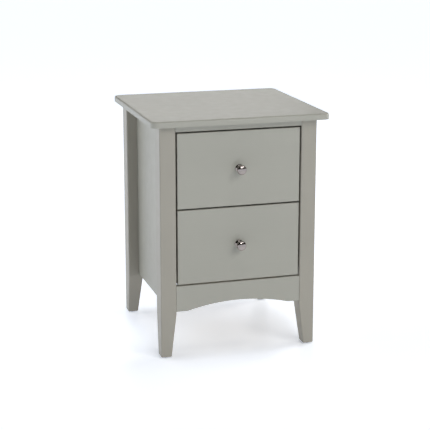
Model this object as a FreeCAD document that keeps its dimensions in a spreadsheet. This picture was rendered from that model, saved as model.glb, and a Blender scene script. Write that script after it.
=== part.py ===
import FreeCAD, Part
import math
import os
import Sketcher
from FreeCAD import Placement, Rotation, Vector

# A painted bedside cabinet with two inset drawers. Millimetres, +Z up, +X to the right, the drawers
# open towards -Y. The origin is on the floor, in the middle of the cabinet's bounding box.

DIMENSIONS = {
    # the whole cabinet
    "top_width": 450,
    "top_depth": 430,
    "total_height": 600,
    "top_thickness": 15,
    "side_overhang": 25,
    "front_overhang": 30,
    "top_corner_radius": 18,
    "top_edge_radius": 5,
    # legs, tapered on their two inner faces
    "leg_width": 40,
    "leg_depth": 45,
    "foot_width": 27,
    "foot_depth": 32,
    "taper_start": 110,
    "leg_edge_radius": 3,
    "foot_edge_radius": 2,
    "glide_height": 2.5,
    "glide_radius": 10,
    "glide_edge": 1,
    "nail_radius": 1.25,
    "nail_length": 12,
    # side panels and back
    "panel_thickness": 12,
    "panel_bottom": 113,
    "tongue_thickness": 6,
    "tongue_depth": 8,
    "back_thickness": 5,
    "back_rabbet": 7,
    # rails and apron, set a little behind the faces of the legs
    "front_setback": 1.5,
    "rail_thickness": 17,
    "rail_depth": 43.5,
    "rear_rail_height": 40,
    "board_thickness": 18,
    "apron_top": 183,
    "apron_bottom": 118,
    "arch_rise": 17,
    "arch_radius": 510,
    "arch_ease_radius": 40,
    "edge_ease": 1.2,
    # drawers
    "gap": 4,
    "drawer_wall": 12,
    "drawer_box_height": 140,
    "drawer_box_raise": 15,
    "drawer_bottom_thickness": 5,
    "drawer_bottom_raise": 8,
    "groove_depth": 6,
    # runners: folded steel strip on each side of each drawer
    "runner_space": 12.5,
    "runner_length": 350,
    "runner_start": 2.5,
    "strip": 1.2,
    "channel_raise": 0.4,
    "channel_width": 10.2,
    "channel_height": 18.8,
    "lip_width": 4.5,
    "flange_inset": 5.5,
    "flange_raise": 17.6,
    "roller_end_distance": 12,
    "cabinet_roller_radius": 7.5,
    "cabinet_roller_raise": 9.9,
    "drawer_roller_radius": 7.8,
    "drawer_roller_raise": 9.6,
    "roller_inset": 3,
    "roller_width": 7.2,
    "roller_bore_radius": 2.26,
    "pin_radius": 2.2,
    "pin_collar_radius": 3.6,
    "pin_head_thickness": 0.6,
    "pin_end_play": 0.15,
    "stop_height": 3,
    "stop_clearance": 0.7,
    "drawer_travel": 265,
    # fastenings
    "dowel_radius": 4,
    "dowel_length": 30,
    "dowel_inset": 20,
    "rail_dowel_spacing": 15,
    "small_dowel_radius": 3,
    "small_dowel_length": 24,
    "small_dowel_inset": 35,
    "top_screw_radius": 2,
    "top_screw_length": 25,
    "top_screw_spacing": 110,
    "back_screw_radius": 1.5,
    "back_screw_length": 16,
    "back_screw_spacing": 120,
    "box_screw_radius": 1.75,
    "box_screw_length": 35,
    "box_screw_inset": 40,
    "bottom_screw_length": 12,
    "bottom_screw_spacing": 90,
    "runner_screw_radius": 1.7,
    "runner_screw_head_radius": 3.2,
    "runner_screw_head": 0.9,
    "runner_screw_bite": 7,
    "runner_screw_inset": 20,
    # knobs
    "knob_radius": 12,
    "knob_projection": 28.5,
    "knob_base_radius": 10,
    "knob_base_thickness": 1.8,
    "knob_neck_radius": 5.2,
    "knob_neck_raise": 10,
    "knob_throat_radius": 9.9,
    "knob_throat_raise": 18.7,
    "knob_rim_raise": 22.5,
    "knob_brow_radius": 9.2,
    "knob_brow_raise": 26.7,
    "knob_waist_curve": 10.4,
    "knob_rim_curve": 4.5,
    "knob_screw_radius": 2,
    "knob_screw_head_radius": 4,
    "knob_screw_head": 2.5,
    "knob_screw_bite": 9,
}

doc = FreeCAD.newDocument("bedside_cabinet")
dims = doc.addObject("Spreadsheet::Sheet", "dims")
for row, (alias, size) in enumerate(DIMENSIONS.items(), start=1):
    dims.set(f"A{row}", alias)
    dims.set(f"B{row}", str(size))
    dims.setAlias(f"B{row}", alias)
doc.recompute()

pieces = {}

# Planes that many pieces share, as expressions of the sheet.
SIDE = "(dims.top_width / 2 - dims.side_overhang)"
INNER = f"({SIDE} - dims.leg_width)"
FRONT = "(dims.front_overhang - dims.top_depth / 2)"
BACK = "(dims.top_depth / 2)"
LEG_REAR = f"({FRONT} + dims.leg_depth)"
REAR_LEG_FRONT = f"({BACK} - dims.leg_depth)"
UNDER_TOP = "(dims.total_height - dims.top_thickness)"
FACE = f"({FRONT} + dims.front_setback)"
FACE_REAR = f"({FACE} + dims.board_thickness)"
BACK_INSIDE = f"({BACK} - dims.back_thickness)"
RAIL_BOTTOM = f"({UNDER_TOP} - dims.rail_thickness)"
FRONT_HEIGHT = f"(({RAIL_BOTTOM} - dims.apron_top - 3 * dims.gap) / 2)"
FRONT_WIDTH = f"(2 * ({INNER} - dims.gap))"
BOX_SIDE = f"({INNER} - dims.runner_space)"
BOX_REAR = f"({FACE_REAR} + dims.runner_length)"
RUNNER_REAR = f"({BOX_REAR} + dims.runner_start)"
CABINET_ROLLER_Y = f"({FACE_REAR} + dims.runner_start + dims.roller_end_distance)"
DRAWER_ROLLER_Y = f"({BOX_REAR} - dims.roller_end_distance)"
DRAWER_BASE = {
    "lower": "(dims.apron_top + dims.gap)",
    "upper": f"(dims.apron_top + 2 * dims.gap + {FRONT_HEIGHT})",
}
SIDES = {"left": -1, "right": 1}
# Heights nearer than this count as equal.
LEVEL_SLACK = 0.01


def number(expression):
    """The value of an expression of the sheet's cells."""
    return float(dims.evalExpression(expression))


def keep(label, piece):
    """Name a finished piece and list it for writing."""
    piece.Label = label
    pieces[label] = piece
    return piece


def place(piece, corner):
    """Bind a piece's position to three expressions."""
    for axis, expression in zip("xyz", corner):
        piece.setExpression(f"Placement.Base.{axis}", expression)
    return piece


def board(name, corner, size):
    """A plain board, from its lowest corner and its three sizes."""
    piece = doc.addObject("Part::Box", name)
    for side, expression in zip(("Length", "Width", "Height"), size):
        piece.setExpression(side, expression)
    return place(piece, corner)


def cut_out(label, blank, mates):
    """The blank with a housing or a hole for each piece that it mates with."""
    doc.recompute()
    for mate in mates:
        step = doc.addObject("Part::Cut", f"{label}_less_{mate.Label}")
        step.Base = blank
        step.Tool = mate
        blank = step
    return keep(label, blank)


def mirrored(label, source):
    """The right-hand piece that mirrors a left-hand one."""
    piece = doc.addObject("Part::Mirroring", label)
    piece.Source = source
    piece.Normal = Vector(1, 0, 0)
    piece.Base = Vector(0, 0, 0)
    return keep(label, piece)


def sketch_on(body, role, name, height=None):
    """A sketch on one of the body's own origin planes, lifted along its normal by an expression."""
    sketch = body.newObject("Sketcher::SketchObject", name)
    plane = next(item for item in body.Origin.OriginFeatures if item.Role == role)
    sketch.AttachmentSupport = [(plane, "")]
    sketch.MapMode = "FlatFace"
    if height:
        sketch.setExpression("AttachmentOffset.Base.z", height)
    return sketch


def bind_last(sketch, constraint, expression):
    """Add a dimension to a sketch and bind it."""
    row = sketch.addConstraint(constraint)
    sketch.setExpression(f"Constraints[{row}]", expression)


def arc_between(start, end, radius, side):
    """The shorter arc between two points that swells to the right (1) or the left (-1) of the way
    from start to end, as the anticlockwise arc that a sketch holds."""
    chord = end - start
    outward = Vector(chord.y, -chord.x, 0).normalize() * side
    centre = (start + end) / 2 - outward * math.sqrt(radius ** 2 - chord.Length ** 2 / 4)
    first, last = (start, end) if side > 0 else (end, start)
    angles = [math.atan2(point.y - centre.y, point.x - centre.x) for point in (first, last)]
    return Part.ArcOfCircle(Part.Circle(centre, Vector(0, 0, 1), radius), *angles)


def outline(sketch, corners, arcs=None):
    """Close a loop through corners given as pairs of expressions. arcs names the edges that are
    round, by their first corner: its radius, and the side that it swells to."""
    arcs = arcs or {}
    points = [Vector(number(along), number(across), 0) for along, across in corners]
    for index, start in enumerate(points):
        end = points[(index + 1) % len(points)]
        if index in arcs:
            radius, side = arcs[index]
            sketch.addGeometry(arc_between(start, end, number(radius), side), False)
        else:
            sketch.addGeometry(Part.LineSegment(start, end), False)
    ends = [(2, 1) if arcs.get(index, ("", 1))[1] < 0 else (1, 2) for index in range(len(points))]
    for index, corner in enumerate(corners):
        before = (index - 1) % len(corners)
        joint = Sketcher.Constraint("Coincident", before, ends[before][1], index, ends[index][0])
        sketch.addConstraint(joint)
        for kind, expression in zip(("DistanceX", "DistanceY"), corner):
            where = Sketcher.Constraint(kind, index, ends[index][0], number(expression))
            bind_last(sketch, where, expression)
    for index, (radius, _) in arcs.items():
        bind_last(sketch, Sketcher.Constraint("Radius", index, number(radius)), radius)
    return sketch


def pad(body, name, sketch, length):
    """Pad a sketch along its plane's normal, by an expression."""
    feature = body.newObject("PartDesign::Pad", name)
    feature.Profile = sketch
    feature.setExpression("Length", length)
    sketch.Visibility = False
    return feature


def rectangle(left, right, low, high):
    """The four corners of a rectangle, anticlockwise."""
    return [(left, low), (right, low), (right, high), (left, high)]


def ease(body, name, radius, chosen):
    """Round the edges of the body's tip that pass the test."""
    doc.recompute()
    base = body.Tip
    names = [f"Edge{index}" for index, edge in enumerate(base.Shape.Edges, start=1) if chosen(edge)]
    feature = body.newObject("PartDesign::Fillet", name)
    feature.Base = (base, names)
    feature.setExpression("Radius", radius)
    return feature


def upright(edge):
    """Whether an edge rises more than it runs."""
    box = edge.BoundBox
    return box.ZLength > max(box.XLength, box.YLength)


def at_base(edge):
    """Whether an edge lies in the plane that its body stands on."""
    return edge.BoundBox.ZMax < LEVEL_SLACK


def turned(name, profile, axis, corner, arcs=None):
    """A turned piece. The profile's pairs are radius and distance along the axis."""
    body = doc.addObject("PartDesign::Body", name)
    sketch = outline(sketch_on(body, "XZ_Plane", f"{name}_outline"), profile, arcs)
    feature = body.newObject("PartDesign::Revolution", f"{name}_turning")
    feature.Profile = sketch
    feature.ReferenceAxis = (sketch, ["V_Axis"])
    feature.Angle = 360
    body.Placement.Rotation = Rotation(Vector(0, 0, 1), axis)
    return place(body, corner)


def group(label, shape, places):
    """Identical loose pieces: a copy of the shape at each point, turned from +Z to the direction."""
    copies = []
    for spot, direction in places:
        copy = shape.copy()
        copy.Placement = Placement(Vector(*spot), Rotation(Vector(0, 0, 1), Vector(*direction)))
        copies.append(copy)
    piece = doc.addObject("Part::Feature", label)
    piece.Shape = Part.makeCompound(copies)
    return keep(label, piece)


def countersunk(length, radius):
    """A countersunk screw that drives along +Z, with the flat of its head at the origin."""
    head = Part.makeCone(2 * radius, radius, radius)
    return head.fuse(Part.makeCylinder(radius, length)).removeSplitter()


def flat_headed(length, radius, head_radius, head_thickness):
    """A screw or nail that drives along +Z, with a flat head below the origin."""
    head = Part.makeCylinder(head_radius, head_thickness, Vector(0, 0, -head_thickness))
    return head.fuse(Part.makeCylinder(radius, length)).removeSplitter()


def top_panel(mates):
    """The overhanging top: rounded corners in plan and a softened upper edge."""
    body = doc.addObject("PartDesign::Body", "top_blank")
    half_width, half_depth = "dims.top_width / 2", "dims.top_depth / 2"
    plan = rectangle(f"-{half_width}", half_width, f"-{half_depth}", half_depth)
    pad(body, "top_board", outline(sketch_on(body, "XY_Plane", "top_plan"), plan), "dims.top_thickness")
    ease(body, "top_corners", "dims.top_corner_radius", upright)
    thickness = number("dims.top_thickness")
    ease(body, "top_edge", "dims.top_edge_radius", lambda edge: edge.BoundBox.ZMin > thickness / 2)
    return cut_out("top_panel", place(body, ("0", "0", UNDER_TOP)), mates)


def leg(label, y_outer, y_inner, foot_inner, mates):
    """A left-hand leg. Its outer faces are upright; below the knee the inner two close in."""
    body = doc.addObject("PartDesign::Body", f"{label}_blank")
    foot = outline(
        sketch_on(body, "XY_Plane", f"{label}_foot"),
        leg_section("dims.foot_width", y_outer, foot_inner),
    )
    knee_height = "dims.taper_start - dims.glide_height"
    knee = outline(
        sketch_on(body, "XY_Plane", f"{label}_knee", knee_height),
        leg_section("dims.leg_width", y_outer, y_inner),
    )
    doc.recompute()
    taper = body.newObject("PartDesign::AdditiveLoft", f"{label}_taper")
    taper.Profile = foot
    taper.Sections = [knee]
    taper.Ruled = True
    doc.recompute()
    shaft = outline(
        sketch_on(body, "XY_Plane", f"{label}_section", knee_height),
        leg_section("dims.leg_width", y_outer, y_inner),
    )
    pad(body, f"{label}_shaft", shaft, f"{UNDER_TOP} - dims.taper_start")
    ease(body, f"{label}_edges", "dims.leg_edge_radius", upright)
    ease(body, f"{label}_foot_edges", "dims.foot_edge_radius", at_base)
    return cut_out(label, place(body, ("0", "0", "dims.glide_height")), mates)


def leg_section(width, y_outer, y_inner):
    """A leg's cross-section, anticlockwise, from its outer corner inwards."""
    low, high = sorted((y_outer, y_inner), key=number)
    return rectangle(f"-{SIDE}", f"-{SIDE} + {width}", low, high)


def side_panel(label):
    """The left side panel, with a tongue along each upright edge that fits a groove in the leg."""
    body = doc.addObject("PartDesign::Body", label)
    outer = f"-{INNER} - dims.panel_thickness"
    shoulder = "(dims.panel_thickness - dims.tongue_thickness) / 2"
    tongue_outer = f"{outer} + {shoulder}"
    tongue_inner = f"-{INNER} - {shoulder}"
    front_tip = f"{LEG_REAR} - dims.tongue_depth"
    rear_tip = f"{REAR_LEG_FRONT} + dims.tongue_depth"
    section = [
        (outer, LEG_REAR), (tongue_outer, LEG_REAR), (tongue_outer, front_tip), (tongue_inner, front_tip),
        (tongue_inner, LEG_REAR), (f"-{INNER}", LEG_REAR), (f"-{INNER}", REAR_LEG_FRONT),
        (tongue_inner, REAR_LEG_FRONT), (tongue_inner, rear_tip), (tongue_outer, rear_tip),
        (tongue_outer, REAR_LEG_FRONT), (outer, REAR_LEG_FRONT),
    ]
    sketch = outline(sketch_on(body, "XY_Plane", f"{label}_section"), section)
    pad(body, f"{label}_board", sketch, f"{UNDER_TOP} - dims.panel_bottom")
    return place(body, ("0", "0", "dims.panel_bottom"))


def apron(mates):
    """The front apron: a flat at each end, then a shallow arch joined to it by two eased turns."""
    body = doc.addObject("PartDesign::Body", "apron_blank")
    arch_top = "(dims.apron_bottom + dims.arch_rise)"
    # The ease's circle sits on the flat and touches the arch's circle from outside.
    share = "(dims.arch_radius / (dims.arch_radius + dims.arch_ease_radius))"
    arch_centre = f"({arch_top} - dims.arch_radius)"
    touch_height = (
        f"({arch_centre} + {share} * (dims.apron_bottom + dims.arch_ease_radius - {arch_centre}))"
    )
    reach = (
        f"sqrt(pow(dims.arch_radius + dims.arch_ease_radius; 2)"
        f" - pow(dims.apron_bottom + dims.arch_ease_radius - {arch_centre}; 2))"
    )
    touch = f"({share} * {reach})"
    corners = [
        (f"-{INNER}", "dims.apron_bottom"), (f"-{reach}", "dims.apron_bottom"),
        (f"-{touch}", touch_height), (touch, touch_height), (reach, "dims.apron_bottom"),
        (INNER, "dims.apron_bottom"), (INNER, "dims.apron_top"), (f"-{INNER}", "dims.apron_top"),
    ]
    arcs = {
        1: ("dims.arch_ease_radius", 1),
        2: ("dims.arch_radius", -1),
        3: ("dims.arch_ease_radius", 1),
    }
    sketch = outline(sketch_on(body, "XZ_Plane", "apron_outline"), corners, arcs)
    pad(body, "apron_board", sketch, "dims.board_thickness")
    return cut_out("front_apron", place(body, ("0", FACE_REAR, "0")), mates)


def pin_profile(collar_end, head_start):
    """A roller pin's half-section: riveted root, collar, shank and head."""
    head_end = f"{head_start} + dims.pin_head_thickness"
    return [
        ("0", "0"), ("dims.pin_radius", "0"), ("dims.pin_radius", "dims.strip"),
        ("dims.pin_collar_radius", "dims.strip"), ("dims.pin_collar_radius", collar_end),
        ("dims.pin_radius", collar_end), ("dims.pin_radius", head_start),
        ("dims.pin_collar_radius", head_start), ("dims.pin_collar_radius", head_end), ("0", head_end),
    ]


def lathe(profile):
    """A solid of revolution about +Z, from pairs of radius and height."""
    points = [Vector(number(radius), 0, number(height)) for radius, height in profile]
    face = Part.Face(Part.makePolygon(points + points[:1]))
    return face.revolve(Vector(0, 0, 0), Vector(0, 0, 1), 360)


def cabinet_runner(level, mates):
    """The left cabinet runner: a channel with a narrow lip, and a tab at each end of the travel."""
    label = f"{level}_left_cabinet_runner"
    body = doc.addObject("PartDesign::Body", f"{label}_blank")
    floor = "(dims.channel_raise + dims.strip)"
    top = "(dims.channel_raise + dims.channel_height)"
    section = [
        ("0", "dims.channel_raise"), ("dims.channel_width", "dims.channel_raise"),
        ("dims.channel_width", floor), ("dims.strip", floor), ("dims.strip", f"{top} - dims.strip"),
        ("dims.lip_width", f"{top} - dims.strip"), ("dims.lip_width", top), ("0", top),
    ]
    sketch = outline(sketch_on(body, "XZ_Plane", f"{label}_section"), section)
    pad(body, f"{label}_channel", sketch, "dims.runner_length")
    closed_stop = f"({DRAWER_ROLLER_Y} + dims.drawer_roller_radius + dims.stop_clearance + dims.strip)"
    open_stop = f"({DRAWER_ROLLER_Y} - dims.drawer_travel - dims.drawer_roller_radius)"
    tab = rectangle("dims.roller_inset", "dims.channel_width", floor, f"{floor} + dims.stop_height")
    for name, stop in (("closed_stop", closed_stop), ("open_stop", open_stop)):
        back_from_end = f"{RUNNER_REAR} - {stop}"
        tab_sketch = outline(sketch_on(body, "XZ_Plane", f"{label}_{name}", back_from_end), tab)
        pad(body, f"{label}_{name}_tab", tab_sketch, "dims.strip")
    place(body, (f"-{INNER}", RUNNER_REAR, box_base(level)))
    mirrored(f"{level}_right_cabinet_runner", cut_out(label, body, mates))


def drawer_runner(level, mates):
    """The left drawer runner: it carries the drawer's side on its foot and rides on its flange."""
    label = f"{level}_left_drawer_runner"
    body = doc.addObject("PartDesign::Body", f"{label}_blank")
    web = "(dims.runner_space - dims.strip)"
    foot = "(dims.runner_space + dims.drawer_wall)"
    top = "(dims.flange_raise + dims.strip)"
    section = [
        (web, "-dims.strip"), (foot, "-dims.strip"), (foot, "0"), ("dims.runner_space", "0"),
        ("dims.runner_space", top), ("dims.flange_inset", top), ("dims.flange_inset", "dims.flange_raise"),
        (web, "dims.flange_raise"),
    ]
    sketch = outline(sketch_on(body, "XZ_Plane", f"{label}_section"), section)
    pad(body, f"{label}_strip", sketch, "dims.runner_length")
    place(body, (f"-{INNER}", BOX_REAR, box_base(level)))
    mirrored(f"{level}_right_drawer_runner", cut_out(label, body, mates))


def rollers(level):
    """Four nylon rollers: the cabinet's two stay at the front, the drawer's two travel at its rear."""
    kinds = {
        "cabinet": (CABINET_ROLLER_Y, "dims.cabinet_roller_raise", "dims.cabinet_roller_radius"),
        "drawer": (DRAWER_ROLLER_Y, "dims.drawer_roller_raise", "dims.drawer_roller_radius"),
    }
    inner = "dims.roller_inset"
    outer = "(dims.roller_inset + dims.roller_width)"
    for kind, (along, rise, radius) in kinds.items():
        section = rectangle("dims.roller_bore_radius", radius, inner, outer)
        for side, sign in SIDES.items():
            corner = (f"{sign} * {INNER}", along, f"{box_base(level)} + {rise}")
            label = f"{level}_{side}_{kind}_roller"
            keep(label, turned(label, section, Vector(-sign, 0, 0), corner))


def knob(level, mates):
    """A mushroom knob turned on one axis: flat foot, slim waist, flared head with a low dome."""
    corners = [
        ("0", "0"), ("dims.knob_base_radius", "0"), ("dims.knob_base_radius", "dims.knob_base_thickness"),
        ("dims.knob_neck_radius", "dims.knob_neck_raise"),
        ("dims.knob_throat_radius", "dims.knob_throat_raise"), ("dims.knob_radius", "dims.knob_rim_raise"),
        ("dims.knob_brow_radius", "dims.knob_brow_raise"), ("0", "dims.knob_projection"),
    ]
    dome_rise = "(dims.knob_projection - dims.knob_brow_raise)"
    dome = f"(pow(dims.knob_brow_radius; 2) + pow({dome_rise}; 2)) / (2 * {dome_rise})"
    arcs = {
        2: ("dims.knob_waist_curve", -1), 3: ("dims.knob_waist_curve", -1),
        4: ("dims.knob_rim_curve", 1), 5: ("dims.knob_rim_curve", 1), 6: (dome, 1),
    }
    blank = turned(f"{level}_knob_blank", corners, Vector(0, -1, 0), ("0", FACE, knob_height(level)), arcs)
    cut_out(f"{level}_knob", blank, mates)


def box_base(level):
    """The height of the underside of a drawer's box."""
    return f"({DRAWER_BASE[level]} + dims.drawer_box_raise)"


def knob_height(level):
    """The height of a drawer's knob, at the middle of its front."""
    return f"({DRAWER_BASE[level]} + {FRONT_HEIGHT} / 2)"


def spots(along_x, along_y, along_z):
    """Every point that the three lists of expressions make together."""
    return [
        (number(x), number(y), number(z)) for x in along_x for y in along_y for z in along_z
    ]


def both_sides(distance):
    """An expression for each side of the middle plane."""
    return [f"-{distance}", distance]


def three_across(spacing):
    """An expression for the middle plane and one each side of it."""
    return [f"-{spacing}", "0", spacing]


def facing_in(points, inward=1):
    """Each point with the X direction that leads to the middle plane, or away from it."""
    return [(point, (-inward * math.copysign(1, point[0]), 0, 0)) for point in points]


def same_way(points, direction):
    """Each point with one shared direction."""
    return [(point, direction) for point in points]


def drawer(level):
    """One drawer: an inset front, a box with its bottom in grooves, a knob and its half of the runners."""
    base = box_base(level)
    inside = f"({BOX_SIDE} - dims.drawer_wall)"
    wall_middle = f"({BOX_SIDE} - dims.drawer_wall / 2)"
    bottom_low = f"({base} + dims.drawer_bottom_raise)"
    back_front = f"({BOX_REAR} - dims.drawer_wall)"
    back_middle = f"({BOX_REAR} - dims.drawer_wall / 2)"
    box_top = f"({base} + dims.drawer_box_height)"

    dowel_heights = [f"{base} + dims.small_dowel_inset", f"{box_top} - dims.small_dowel_inset"]
    dowels = group(
        f"{level}_drawer_dowels",
        dowel("dims.small_dowel_radius", "dims.small_dowel_length"),
        same_way(spots(both_sides(wall_middle), [FACE_REAR], dowel_heights), (0, 1, 0)),
    )
    screw_heights = [f"{base} + dims.box_screw_inset", f"{box_top} - dims.box_screw_inset"]
    back_screws = group(
        f"{level}_drawer_back_screws",
        countersunk(number("dims.box_screw_length"), number("dims.box_screw_radius")),
        facing_in(spots(both_sides(BOX_SIDE), [back_middle], screw_heights)),
    )
    bottom_screws = group(
        f"{level}_drawer_bottom_screws",
        countersunk(number("dims.bottom_screw_length"), number("dims.back_screw_radius")),
        same_way(
            spots(three_across("dims.bottom_screw_spacing"), [back_middle], [bottom_low]),
            (0, 0, 1),
        ),
    )
    runner_screws = group(
        f"{level}_drawer_runner_screws",
        runner_screw(),
        same_way(
            spots(
                both_sides(wall_middle),
                [f"{FACE_REAR} + dims.box_screw_inset", f"{BOX_REAR} - dims.box_screw_inset"],
                [f"{base} - dims.strip"],
            ),
            (0, 0, 1),
        ),
    )
    knob_screw = group(
        f"{level}_knob_screw",
        flat_headed(
            number("dims.board_thickness + dims.knob_screw_bite"),
            number("dims.knob_screw_radius"),
            number("dims.knob_screw_head_radius"),
            number("dims.knob_screw_head"),
        ),
        same_way(spots(["0"], [FACE_REAR], [knob_height(level)]), (0, -1, 0)),
    )

    bottom_blank = board(
        f"{level}_bottom_blank",
        (f"-({inside} + dims.groove_depth)", f"{FACE_REAR} - dims.groove_depth", bottom_low),
        (
            f"2 * ({inside} + dims.groove_depth)",
            "dims.runner_length + dims.groove_depth",
            "dims.drawer_bottom_thickness",
        ),
    )
    bottom = cut_out(f"{level}_drawer_bottom", bottom_blank, [bottom_screws])
    back_low = f"({bottom_low} + dims.drawer_bottom_thickness)"
    back_blank = board(
        f"{level}_back_blank",
        (f"-{inside}", back_front, back_low),
        (f"2 * {inside}", "dims.drawer_wall", f"{box_top} - {back_low}"),
    )
    cut_out(f"{level}_drawer_back", back_blank, [back_screws, bottom_screws])
    side_blank = board(
        f"{level}_side_blank",
        (f"-{BOX_SIDE}", FACE_REAR, base),
        ("dims.drawer_wall", "dims.runner_length", "dims.drawer_box_height"),
    )
    left_side = cut_out(
        f"{level}_drawer_left_side", side_blank, [bottom, dowels, back_screws, runner_screws]
    )
    mirrored(f"{level}_drawer_right_side", left_side)

    front = doc.addObject("PartDesign::Body", f"{level}_front_blank")
    face = rectangle(f"-{FRONT_WIDTH} / 2", f"{FRONT_WIDTH} / 2", "0", FRONT_HEIGHT)
    face_sketch = outline(sketch_on(front, "XZ_Plane", f"{level}_front_outline"), face)
    pad(front, f"{level}_front_board", face_sketch, "dims.board_thickness")
    mid_thickness = -number("dims.board_thickness") / 2
    ease(front, f"{level}_front_edges", "dims.edge_ease", lambda edge: edge.BoundBox.YMax < mid_thickness)
    place(front, ("0", FACE_REAR, DRAWER_BASE[level]))
    cut_out(f"{level}_drawer_front", front, [bottom, dowels, knob_screw])
    knob(level, [knob_screw])

    drawer_pin = lathe(pin_profile(
        "(dims.runner_space - dims.roller_inset - dims.roller_width - dims.pin_end_play)",
        "(dims.runner_space - dims.roller_inset + dims.pin_end_play)",
    ))
    roller_axis = f"{base} + dims.drawer_roller_raise"
    pins = group(
        f"{level}_drawer_roller_pins",
        drawer_pin,
        facing_in(spots(both_sides(BOX_SIDE), [DRAWER_ROLLER_Y], [roller_axis]), -1),
    )
    drawer_runner(level, [runner_screws, pins])


def dowel(radius, length):
    """A dowel along Z, with its middle at the origin."""
    return Part.makeCylinder(number(radius), number(length), Vector(0, 0, -number(length) / 2))


def runner_screw():
    """A flat-headed screw that holds a runner; it drives along +Z from the face of the strip."""
    return flat_headed(
        number("dims.strip + dims.runner_screw_bite"),
        number("dims.runner_screw_radius"),
        number("dims.runner_screw_head_radius"),
        number("dims.runner_screw_head"),
    )


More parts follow.
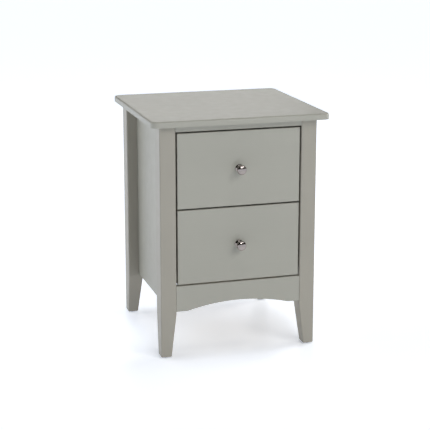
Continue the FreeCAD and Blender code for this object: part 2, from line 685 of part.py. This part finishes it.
def carcass():
    """Legs, panels, rails, apron, top and back, with the cabinet's half of the runners."""
    levels = list(DRAWER_BASE)
    rail_middle = f"{RAIL_BOTTOM} + dims.rail_thickness / 2"
    rear_rail_y = f"({BACK_INSIDE} - dims.board_thickness)"
    apron_dowels = spots(
        both_sides(INNER),
        [f"{FACE} + dims.board_thickness / 2"],
        ["dims.apron_bottom + dims.dowel_inset", "dims.apron_top - dims.dowel_inset"],
    )
    shifts = ("0", "dims.rail_dowel_spacing")
    front_rail_dowels = spots(
        both_sides(INNER),
        [f"{FACE} + dims.board_thickness / 2 + {shift}" for shift in shifts],
        [rail_middle],
    )
    rear_rail_dowels = spots(
        both_sides(INNER),
        [f"{BACK_INSIDE} - dims.board_thickness / 2 - {shift}" for shift in shifts],
        [rail_middle],
    )
    low_rail_dowels = spots(
        both_sides(INNER),
        [f"{BACK_INSIDE} - dims.board_thickness / 2"],
        [
            "dims.apron_bottom + dims.rear_rail_height / 4",
            "dims.apron_bottom + 3 * dims.rear_rail_height / 4",
        ],
    )
    dowels = group(
        "rail_dowels",
        dowel("dims.dowel_radius", "dims.dowel_length"),
        facing_in(apron_dowels + front_rail_dowels + rear_rail_dowels + low_rail_dowels),
    )
    top_screws = group(
        "top_screws",
        countersunk(number("dims.top_screw_length"), number("dims.top_screw_radius")),
        same_way(
            spots(
                three_across("dims.top_screw_spacing"),
                [f"{FACE} + dims.rail_depth / 2", f"{BACK_INSIDE} - dims.rail_depth / 2"],
                [RAIL_BOTTOM],
            ),
            (0, 0, 1),
        ),
    )
    back_screws = group(
        "back_panel_screws",
        countersunk(number("dims.back_screw_length"), number("dims.back_screw_radius")),
        same_way(
            spots(
                three_across("dims.back_screw_spacing"),
                [BACK],
                [rail_middle, "dims.apron_bottom + dims.rear_rail_height / 2"],
            ),
            (0, -1, 0),
        ),
    )
    glides = group(
        "foot_glides",
        lathe([
            ("0", "0"), ("dims.glide_radius - dims.glide_edge", "0"),
            ("dims.glide_radius", "dims.glide_edge"), ("dims.glide_radius", "dims.glide_height"),
            ("dims.nail_radius", "dims.glide_height"),
            ("dims.nail_radius", "dims.glide_height + dims.nail_length"),
            ("0", "dims.glide_height + dims.nail_length"),
        ]),
        same_way(
            spots(
                both_sides(f"({SIDE} - dims.foot_width / 2)"),
                [f"{FRONT} + dims.foot_depth / 2", f"{BACK} - dims.foot_depth / 2"],
                ["0"],
            ),
            (0, 0, 1),
        ),
    )
    runner_screws = group(
        "cabinet_runner_screws",
        runner_screw(),
        facing_in(
            spots(
                both_sides(f"({INNER} - dims.strip)"),
                [
                    f"{LEG_REAR} + dims.runner_screw_inset",
                    f"({LEG_REAR} + {REAR_LEG_FRONT}) / 2",
                    f"{REAR_LEG_FRONT} - dims.runner_screw_inset",
                ],
                [f"{box_base(level)} + dims.drawer_roller_raise" for level in levels],
            ),
            -1,
        ),
    )
    cabinet_pin = lathe(pin_profile(
        "(dims.roller_inset - dims.pin_end_play)",
        "(dims.roller_inset + dims.roller_width + dims.pin_end_play)",
    ))
    pins = group(
        "cabinet_roller_pins",
        cabinet_pin,
        facing_in(spots(
            both_sides(INNER),
            [CABINET_ROLLER_Y],
            [f"{box_base(level)} + dims.cabinet_roller_raise" for level in levels],
        )),
    )

    top_panel([top_screws])
    back_blank = board(
        "back_blank",
        (f"-({INNER} + dims.back_rabbet)", BACK_INSIDE, "dims.panel_bottom"),
        (f"2 * ({INNER} + dims.back_rabbet)", "dims.back_thickness", f"{UNDER_TOP} - dims.panel_bottom"),
    )
    back = cut_out("back_panel", back_blank, [back_screws])
    panel = cut_out("left_side_panel", side_panel("side_panel_blank"), [runner_screws])
    mirrored("right_side_panel", panel)

    front_leg = leg(
        "front_left_leg",
        FRONT,
        LEG_REAR,
        f"({FRONT} + dims.foot_depth)",
        [panel, dowels, glides],
    )
    rear_leg = leg(
        "rear_left_leg",
        BACK,
        REAR_LEG_FRONT,
        f"({BACK} - dims.foot_depth)",
        [panel, back, dowels, glides],
    )
    mirrored("front_right_leg", front_leg)
    mirrored("rear_right_leg", rear_leg)

    rail_size = (f"2 * {INNER}", "dims.rail_depth", "dims.rail_thickness")
    front_rail = board("front_rail_blank", (f"-{INNER}", FACE, RAIL_BOTTOM), rail_size)
    cut_out("front_top_rail", front_rail, [dowels, top_screws])
    rear_corner = (f"-{INNER}", f"{BACK_INSIDE} - dims.rail_depth", RAIL_BOTTOM)
    rear_rail = board("rear_rail_blank", rear_corner, rail_size)
    cut_out("rear_top_rail", rear_rail, [dowels, top_screws, back_screws])
    low_rail = board(
        "low_rail_blank",
        (f"-{INNER}", rear_rail_y, "dims.apron_bottom"),
        (f"2 * {INNER}", "dims.board_thickness", "dims.rear_rail_height"),
    )
    cut_out("rear_bottom_rail", low_rail, [dowels, back_screws])
    apron([dowels])
    for level in levels:
        cabinet_runner(level, [runner_screws, pins])


def write_parts():
    """Stop at any feature that failed; then write each piece to its own file."""
    doc.recompute()
    failed = [item.Name for item in doc.Objects if {"Invalid", "Error"} & set(item.State)]
    if failed:
        raise RuntimeError(f"features that failed: {failed}")
    for label, piece in pieces.items():
        if piece.Shape.isNull() or not piece.Shape.isValid():
            raise RuntimeError(f"{label} has no valid shape")
    os.makedirs("parts", exist_ok=True)
    for label, piece in pieces.items():
        piece.Shape.exportStep(f"parts/{label}.step")
    print(len(pieces), "pieces")


carcass()
for name in DRAWER_BASE:
    drawer(name)
    rollers(name)
write_parts()
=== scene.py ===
import math

import bpy
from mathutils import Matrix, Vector


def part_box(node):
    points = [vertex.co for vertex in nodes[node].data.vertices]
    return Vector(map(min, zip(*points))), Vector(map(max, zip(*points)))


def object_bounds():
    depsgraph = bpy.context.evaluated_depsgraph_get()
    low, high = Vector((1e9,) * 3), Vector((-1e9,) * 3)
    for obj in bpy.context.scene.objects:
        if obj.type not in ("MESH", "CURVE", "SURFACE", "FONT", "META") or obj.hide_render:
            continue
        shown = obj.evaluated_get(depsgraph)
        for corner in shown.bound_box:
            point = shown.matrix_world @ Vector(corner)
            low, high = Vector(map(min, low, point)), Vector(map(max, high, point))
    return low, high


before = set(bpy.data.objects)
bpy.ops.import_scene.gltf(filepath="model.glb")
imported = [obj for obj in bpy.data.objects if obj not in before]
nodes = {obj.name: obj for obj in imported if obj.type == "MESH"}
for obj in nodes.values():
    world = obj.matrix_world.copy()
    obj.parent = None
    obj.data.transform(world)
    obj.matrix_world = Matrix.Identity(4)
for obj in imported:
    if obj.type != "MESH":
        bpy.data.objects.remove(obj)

# The looks of a grey painted bedside cabinet. Metres, in the frame's own axes: +Z up, +X to the
# right, the drawers open towards -Y.

cad_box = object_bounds()
floor_level = cad_box[0].z
scene = bpy.context.scene

LEVELS = ("lower", "upper")
SIDES = ("left", "right")

# Linear colours.
PAINT = (0.370, 0.364, 0.314)
LEG_PAINT = (0.350, 0.330, 0.279)
BACK_PAINT = (0.36, 0.356, 0.316)
PINE_LIGHT = (0.66, 0.47, 0.27)
PINE_DARK = (0.46, 0.27, 0.12)
PLY_LIGHT = (0.62, 0.48, 0.31)
PLY_DARK = (0.50, 0.36, 0.21)
BEECH = (0.60, 0.43, 0.26)
ZINC = (0.56, 0.56, 0.54)
RUNNER_WHITE = (0.78, 0.78, 0.75)
NYLON = (0.80, 0.79, 0.73)
GLIDE_BROWN = (0.035, 0.031, 0.028)
CHROME = (0.335, 0.298, 0.28)
FLOOR_WHITE = (0.95, 0.95, 0.95)
# SHADE_BLUE is the colour of the floor's painted glow. The glow shows most on its shaded ground.
SHADE_BLUE = (0.87, 0.945, 1.08)

# The darkest and lightest tone of each finish, as shares of its colour.
PAINT_TONES = (0.975, 1.02)
METAL_TONES = (0.94, 1.04)
MOULDED_TONES = (0.96, 1.03)
FLOOR_TONES = (0.99, 1.01)
BEECH_DARK_TONE = 0.8

# How fine each pattern is, as the scale of its noise: a larger figure is a finer pattern.
PAINT_CLOUDS = 5.0
PAINT_STREAKS = 170.0
PAINT_PEEL = 1100.0
PAINT_GLOSS_PATCHES = 40.0
WOOD_FIBRES = 620.0
PINE_RINGS = 20.0
PLY_RINGS = 9.0
BEECH_RINGS = 60.0
ZINC_MOTTLE = 900.0
CHROME_MOTTLE = 500.0
METAL_RELIEF_FINENESS = 6.0  # how many times finer a metal's relief is than its mottle
MOULDED_PATCHES = 60.0
POWDER_PEEL = 2600.0
NYLON_PEEL = 1800.0
GLIDE_PEEL = 1500.0
FLOOR_CLOUDS = 3.0

# How deep each relief is.
WOOD_RELIEF = 0.00012
PEEL_RELIEF = 0.00003
METAL_RELIEF = 0.00001
POWDER_RELIEF = 0.00002
NYLON_RELIEF = 0.00001
GLIDE_RELIEF = 0.00002

# Roughness, from the glossiest spots to the dullest.
PAINT_ROUGHNESS = (0.36, 0.44)
PINE_ROUGHNESS = (0.38, 0.52)
PLY_ROUGHNESS = (0.5, 0.64)
BEECH_ROUGHNESS = (0.6, 0.74)
ZINC_ROUGHNESS = (0.28, 0.45)
CHROME_ROUGHNESS = (0.08, 0.13)
POWDER_ROUGHNESS = (0.37, 0.47)
NYLON_ROUGHNESS = (0.35, 0.45)
GLIDE_ROUGHNESS = (0.45, 0.55)

# How far light scatters inside nylon, and how much of it does.
SCATTER_DEPTH = 0.002
NYLON_SCATTER = 0.15

# Where most of a noise's values lie.
NOISE_RANGE = (0.3, 0.7)
# The share of paint's unevenness that is clouds. Streaks of grain make up the rest.
CLOUD_SHARE = 0.75
# The growth rings' wave, in radians over the noise's whole range: about seven rings.
RING_WAVES = 44.0
# How far rings and fibres move a wood's colour from light to dark.
RING_SHARE = 0.72
FIBRE_SHARES = (-0.25, 0.35)
# A pattern's scale along the grain, for wood whose grain runs along each axis.
ALONG_GRAIN = 0.06
GRAIN = {"X": (ALONG_GRAIN, 1.0, 1.0), "Y": (1.0, ALONG_GRAIN, 1.0), "Z": (1.0, 1.0, ALONG_GRAIN)}
EVEN = (1.0, 1.0, 1.0)


class Nodes:
    """Builds one material's node tree, with short calls for the nodes that these finishes use."""

    def __init__(self, name):
        self.material = bpy.data.materials.new(name)
        self.material.use_nodes = True
        self.tree = self.material.node_tree
        self.shader = self.tree.nodes["Principled BSDF"]

    def add(self, kind, **settings):
        node = self.tree.nodes.new(kind)
        for key, value in settings.items():
            setattr(node, key, value)
        return node

    def link(self, source, target):
        self.tree.links.new(source, target)

    def set(self, **sockets):
        """Plain values on the shader's own sockets, by their names with underscores for spaces."""
        for key, value in sockets.items():
            if isinstance(value, tuple):
                value = (*value, 1.0)
            self.shader.inputs[key.replace("_", " ")].default_value = value

    def place(self, stretch):
        """The piece's own coordinates. A small figure along an axis draws a pattern out along it."""
        source = self.add("ShaderNodeTexCoord")
        mapping = self.add("ShaderNodeMapping")
        mapping.inputs["Scale"].default_value = stretch
        self.link(source.outputs["Object"], mapping.inputs["Vector"])
        return mapping.outputs["Vector"]

    def noise(self, where, scale, detail=2.0, roughness=0.5, distortion=0.0):
        node = self.add("ShaderNodeTexNoise")
        self.link(where, node.inputs["Vector"])
        node.inputs["Scale"].default_value = scale
        node.inputs["Detail"].default_value = detail
        node.inputs["Roughness"].default_value = roughness
        node.inputs["Distortion"].default_value = distortion
        return node.outputs["Fac"]

    def fit(self, value, low, high, source=NOISE_RANGE):
        """Spreads the source range over low to high, and holds values beyond it at its ends."""
        node = self.add("ShaderNodeMapRange")
        node.inputs["From Min"].default_value, node.inputs["From Max"].default_value = source
        node.inputs["To Min"].default_value = low
        node.inputs["To Max"].default_value = high
        self.link(value, node.inputs["Value"])
        return node.outputs["Result"]

    def sum(self, first, second):
        node = self.add("ShaderNodeMath", operation="ADD")
        self.link(first, node.inputs[0])
        self.link(second, node.inputs[1])
        return node.outputs["Value"]

    def sine(self, angle):
        node = self.add("ShaderNodeMath", operation="SINE")
        self.link(angle, node.inputs[0])
        return node.outputs["Value"]

    def vector(self, operation, where, figures=(0.0, 0.0, 0.0), result="Vector"):
        """Vector arithmetic on coordinates, with plain figures where it takes a second vector."""
        node = self.add("ShaderNodeVectorMath", operation=operation)
        self.link(where, node.inputs[0])
        node.inputs[1].default_value = figures
        return node.outputs[result]

    def blend(self, factor, low, high):
        """A colour between two, by a factor."""
        node = self.add("ShaderNodeMix", data_type="RGBA")
        node.inputs["A"].default_value = (*low, 1.0)
        node.inputs["B"].default_value = (*high, 1.0)
        self.link(factor, node.inputs["Factor"])
        return node.outputs["Result"]

    def tones(self, factor, colour, shares):
        """One colour, from its darkest tone to its lightest."""
        return self.blend(factor, *(shaded(colour, share) for share in shares))

    def bump(self, height, distance, strength, below=None):
        node = self.add("ShaderNodeBump")
        node.inputs["Strength"].default_value = strength
        node.inputs["Distance"].default_value = distance
        self.link(height, node.inputs["Height"])
        if below is not None:
            self.link(below, node.inputs["Normal"])
        return node.outputs["Normal"]

    def colour(self, value):
        self.link(value, self.shader.inputs["Base Color"])

    def roughness(self, value):
        self.link(value, self.shader.inputs["Roughness"])

    def normal(self, value):
        self.link(value, self.shader.inputs["Normal"])


def shaded(colour, share):
    """A colour made lighter or darker."""
    return tuple(min(1.0, part * share) for part in colour)


def painted(name, grain, colour=PAINT):
    """Satin paint sprayed on wood: even colour, a trace of the grain below, and a fine orange peel."""
    made = Nodes(name)
    even = made.place(EVEN)
    clouds = made.noise(even, PAINT_CLOUDS, detail=3.0)
    streaks = made.noise(made.place(GRAIN[grain]), PAINT_STREAKS, detail=4.0, roughness=0.6)
    peel = made.noise(even, PAINT_PEEL)
    tone = made.sum(made.fit(clouds, 0.0, CLOUD_SHARE), made.fit(streaks, 0.0, 1.0 - CLOUD_SHARE))
    made.colour(made.tones(tone, colour, PAINT_TONES))
    made.roughness(made.fit(made.noise(even, PAINT_GLOSS_PATCHES, detail=3.0), *PAINT_ROUGHNESS))
    grain_relief = made.bump(streaks, WOOD_RELIEF, strength=0.5)
    made.normal(made.bump(peel, PEEL_RELIEF, strength=0.35, below=grain_relief))
    made.set(Specular_IOR_Level=0.45)
    return made.material


def timber(name, grain, light, dark, ring_scale, roughness):
    """Bare or lacquered wood: growth rings that wander along the board, and fine fibres."""
    made = Nodes(name)
    along = made.place(GRAIN[grain])
    rings = made.noise(along, ring_scale, roughness=0.4, distortion=1.2)
    wave = made.sine(made.fit(rings, 0.0, RING_WAVES, source=(0.0, 1.0)))
    fibres = made.noise(along, WOOD_FIBRES, detail=5.0, roughness=0.65)
    bands = made.fit(wave, 0.0, RING_SHARE, source=(-1.0, 1.0))
    tone = made.sum(bands, made.fit(fibres, *FIBRE_SHARES))
    made.colour(made.blend(tone, light, dark))
    made.roughness(made.fit(fibres, *roughness))
    made.normal(made.bump(tone, WOOD_RELIEF, strength=0.45))
    return made.material


def metal(name, colour, roughness, mottle):
    """Plated steel with faintly uneven gloss."""
    made = Nodes(name)
    even = made.place(EVEN)
    patches = made.noise(even, mottle, detail=4.0, roughness=0.6)
    made.colour(made.tones(made.fit(patches, 0.0, 1.0), colour, METAL_TONES))
    made.roughness(made.fit(patches, *roughness))
    fine = made.noise(even, METAL_RELIEF_FINENESS * mottle)
    made.normal(made.bump(fine, METAL_RELIEF, strength=0.25))
    made.set(Metallic=1.0)
    return made.material


def moulded(name, colour, roughness, peel_scale, peel_depth, scatter=0.0):
    """Moulded plastic or powder coat: one colour with a fine even texture."""
    made = Nodes(name)
    even = made.place(EVEN)
    patches = made.noise(even, MOULDED_PATCHES, detail=3.0)
    made.colour(made.tones(made.fit(patches, 0.0, 1.0), colour, MOULDED_TONES))
    made.roughness(made.fit(patches, *roughness))
    made.normal(made.bump(made.noise(even, peel_scale), peel_depth, strength=0.4))
    made.set(Subsurface_Weight=scatter, Subsurface_Scale=SCATTER_DEPTH)
    return made.material


def dress(material, *names):
    """Gives CAD nodes a finish."""
    for name in names:
        for slot in nodes[name].material_slots:
            slot.material = material


def at_levels(*pieces):
    """The nodes of these pieces at both drawers."""
    return [f"{level}_{piece}" for level in LEVELS for piece in pieces]


def paint_cabinet():
    """Top, legs, rails, panels and drawer fronts. The grain runs along each board."""
    level_paint = painted("level_paint", "X")
    dress(level_paint, "top_panel", "front_top_rail", "rear_top_rail", "rear_bottom_rail", "front_apron")
    dress(level_paint, *at_levels("drawer_front"))
    dress(painted("upright_paint", "Z"), *(f"{side}_side_panel" for side in SIDES))
    dress(painted("board_paint", "Z", BACK_PAINT), "back_panel")
    legs = (f"{end}_{side}_leg" for end in ("front", "rear") for side in SIDES)
    dress(painted("leg_paint", "Z", LEG_PAINT), *legs)


def dress_drawer_boxes():
    """Lacquered pine round a plywood bottom, and the beech dowels of drawers and cabinet."""
    lengthways = timber("pine_lengthways", "Y", PINE_LIGHT, PINE_DARK, PINE_RINGS, PINE_ROUGHNESS)
    dress(lengthways, *at_levels(*(f"drawer_{side}_side" for side in SIDES)))
    crossways = timber("pine_crossways", "X", PINE_LIGHT, PINE_DARK, PINE_RINGS, PINE_ROUGHNESS)
    dress(crossways, *at_levels("drawer_back"))
    plywood = timber("birch_ply", "X", PLY_LIGHT, PLY_DARK, PLY_RINGS, PLY_ROUGHNESS)
    dress(plywood, *at_levels("drawer_bottom"))
    dark_beech = shaded(BEECH, BEECH_DARK_TONE)
    beech = timber("beech_pegs", "X", BEECH, dark_beech, BEECH_RINGS, BEECH_ROUGHNESS)
    dress(beech, "rail_dowels", *at_levels("drawer_dowels"))


def dress_fittings():
    """Screws, pins, knobs, runners, rollers and foot glides."""
    zinc = metal("zinc_plate", ZINC, ZINC_ROUGHNESS, ZINC_MOTTLE)
    dress(zinc, "top_screws", "back_panel_screws", "cabinet_runner_screws", "cabinet_roller_pins")
    dress(zinc, *at_levels("drawer_back_screws", "drawer_bottom_screws", "drawer_runner_screws",
                           "drawer_roller_pins", "knob_screw"))
    dress(metal("chrome_plate", CHROME, CHROME_ROUGHNESS, CHROME_MOTTLE), *at_levels("knob"))

    powder = moulded("white_powder_coat", RUNNER_WHITE, POWDER_ROUGHNESS, POWDER_PEEL, POWDER_RELIEF)
    nylon = moulded("roller_nylon_finish", NYLON, NYLON_ROUGHNESS, NYLON_PEEL, NYLON_RELIEF,
                    scatter=NYLON_SCATTER)
    for side in SIDES:
        dress(powder, *at_levels(f"{side}_cabinet_runner", f"{side}_drawer_runner"))
        dress(nylon, *at_levels(f"{side}_cabinet_roller", f"{side}_drawer_roller"))
    glide = moulded("glide_plastic_finish", GLIDE_BROWN, GLIDE_ROUGHNESS, GLIDE_PEEL, GLIDE_RELIEF)
    dress(glide, "foot_glides")


# The floor glows faintly, a painted light, so that it stays white and hides its far edge. The glow is
# weakest on the ground under the cabinet, which paints a shadow there. NEAR_GLOW comes in just outside
# that ground, FAR_GLOW and HORIZON_GLOW further away from a point in front of the cabinet, and FILL_GLOW
# is a spot of painted light at the left side, where the boxes leave a shadow. Each rise or fade is a
# pair of distances.
FLOOR_SIZE = 60.0
FLOOR_GLOW = 0.31
FOOTPRINT_INSET = 0.03
NEAR_GLOW = 0.14
NEAR_RISE = (0.0, 0.05)
FRONT_POINT = (0.3, -1.0, 0.0)
FAR_GLOW = 0.2
FAR_RISE = (1.0, 1.5)
HORIZON_GLOW = 0.4
HORIZON_RISE = (2.0, 4.5)
FILL_POINT = (-0.27, 0.02, 0.0)
FILL_GLOW = 0.18
FILL_FADE = (0.05, 0.22)


def outside_painted_shadow(made, where):
    """How far a point of the floor is from its painted shadow: a rectangle round the origin, as wide
    and deep as the legs stand, less the inset on each side, where the floor glows less."""
    low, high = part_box("front_left_leg")[0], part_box("rear_right_leg")[1]
    half = (high - low) / 2
    folded = made.vector("ABSOLUTE", where)
    edge = (half.x - FOOTPRINT_INSET, half.y - FOOTPRINT_INSET, 0.0)
    outward = made.vector("MAXIMUM", made.vector("SUBTRACT", folded, edge))
    return made.vector("LENGTH", outward, result="Value")


def floor_glow(made, where):
    """The strength of the floor's own painted light, weakest under the cabinet as a painted shadow."""
    from_front = made.vector("DISTANCE", where, FRONT_POINT, result="Value")
    from_fill = made.vector("DISTANCE", where, FILL_POINT, result="Value")
    glow = made.fit(from_front, FLOOR_GLOW, FLOOR_GLOW + FAR_GLOW, FAR_RISE)
    glow = made.sum(glow, made.fit(from_front, 0.0, HORIZON_GLOW, HORIZON_RISE))
    # Less glow over the ground under the cabinet: a painted shadow.
    glow = made.sum(glow, made.fit(outside_painted_shadow(made, where), 0.0, NEAR_GLOW, NEAR_RISE))
    # A spot of painted light that fills the shadow at the left side.
    return made.sum(glow, made.fit(from_fill, FILL_GLOW, 0.0, FILL_FADE))


def lay_floor():
    """A white studio floor with a faint polish and a painted glow of its own, dimmer under the cabinet.
    """
    bpy.ops.mesh.primitive_plane_add(size=FLOOR_SIZE, location=(0, 0, floor_level))
    floor = bpy.context.object
    floor.name = "studio_floor"
    made = Nodes("studio_white")
    even = made.place(EVEN)
    made.colour(made.tones(made.noise(even, FLOOR_CLOUDS), FLOOR_WHITE, FLOOR_TONES))
    made.link(floor_glow(made, even), made.shader.inputs["Emission Strength"])
    made.set(Roughness=0.32, Specular_IOR_Level=0.35, Emission_Color=SHADE_BLUE)
    floor.data.materials.append(made.material)


SKY_STRENGTH = 0.92
# Where the band starts to fade and where it ends, as the sine of the elevation.
SKY_FADE = (0.04, 0.13)


def paint_sky():
    """A pale band above the horizon, under a dark sky."""
    world = bpy.data.worlds.new("studio")
    world.use_nodes = True
    tree = world.node_tree
    direction = tree.nodes.new("ShaderNodeTexCoord")
    height = tree.nodes.new("ShaderNodeSeparateXYZ")
    fade = tree.nodes.new("ShaderNodeMapRange")
    fade.inputs["From Min"].default_value, fade.inputs["From Max"].default_value = SKY_FADE
    fade.inputs["To Min"].default_value = SKY_STRENGTH
    fade.inputs["To Max"].default_value = 0.0
    sky = tree.nodes["Background"]
    sky.inputs["Color"].default_value = (1.0, 1.0, 1.0, 1.0)
    tree.links.new(direction.outputs["Generated"], height.inputs["Vector"])
    tree.links.new(height.outputs["Z"], fade.inputs["Value"])
    tree.links.new(fade.outputs["Result"], sky.inputs["Strength"])
    scene.world = world


# Soft boxes: place, size, strength in watts.
SOFT_BOXES = {
    "key_box": ((0.45, -4.3, 2.4), (1.6, 1.5), 42.0),
    "side_key_box": ((2.2, -3.4, 3.0), (1.8, 1.8), 54.0),
    "top_box": ((0.1, -0.5, 3.0), (1.6, 1.4), 18.0),
    "left_box": ((-2.4, 0.7, 1.5), (1.2, 1.2), 14.5),
    "right_box": ((2.6, 0.6, 1.2), (1.2, 1.8), 33.0),
    "rear_box": ((0.6, 2.8, 1.6), (1.6, 1.2), 11.6),
    "rear_left_box": ((-1.8, 2.0, 1.4), (1.2, 1.6), 12.0),
}


def hang_lights():
    """Soft boxes that face the middle of the cabinet."""
    middle = (cad_box[0] + cad_box[1]) / 2
    for name, (place, size, strength) in SOFT_BOXES.items():
        lamp = bpy.data.lights.new(name, "AREA")
        lamp.shape = "RECTANGLE"
        lamp.size, lamp.size_y = size
        lamp.energy = strength
        holder = bpy.data.objects.new(name, lamp)
        holder.location = place
        holder.rotation_euler = (middle - Vector(place)).to_track_quat("-Z", "Y").to_euler()
        scene.collection.objects.link(holder)


# The camera turns right by the yaw and down by the pitch, in degrees. Lens and sensor in millimetres.
CAMERA_PLACE = (-0.923, -3.090, 1.141)
CAMERA_YAW = 16.51
CAMERA_PITCH = 13.53
CAMERA_LENS = 107.3
CAMERA_SENSOR = 36.0
CAMERA_SHIFT = -0.05


def set_camera():
    """A long lens at the front left, looking down on the top."""
    data = bpy.data.cameras.new("camera")
    data.sensor_width = CAMERA_SENSOR
    data.lens = CAMERA_LENS
    data.shift_y = CAMERA_SHIFT
    camera = bpy.data.objects.new("camera", data)
    camera.location = CAMERA_PLACE
    camera.rotation_euler = (math.radians(90 - CAMERA_PITCH), 0, math.radians(-CAMERA_YAW))
    scene.collection.objects.link(camera)
    scene.camera = camera


scene.view_settings.view_transform = "Standard"
paint_cabinet()
dress_drawer_boxes()
dress_fittings()
lay_floor()
paint_sky()
hang_lights()
set_camera()
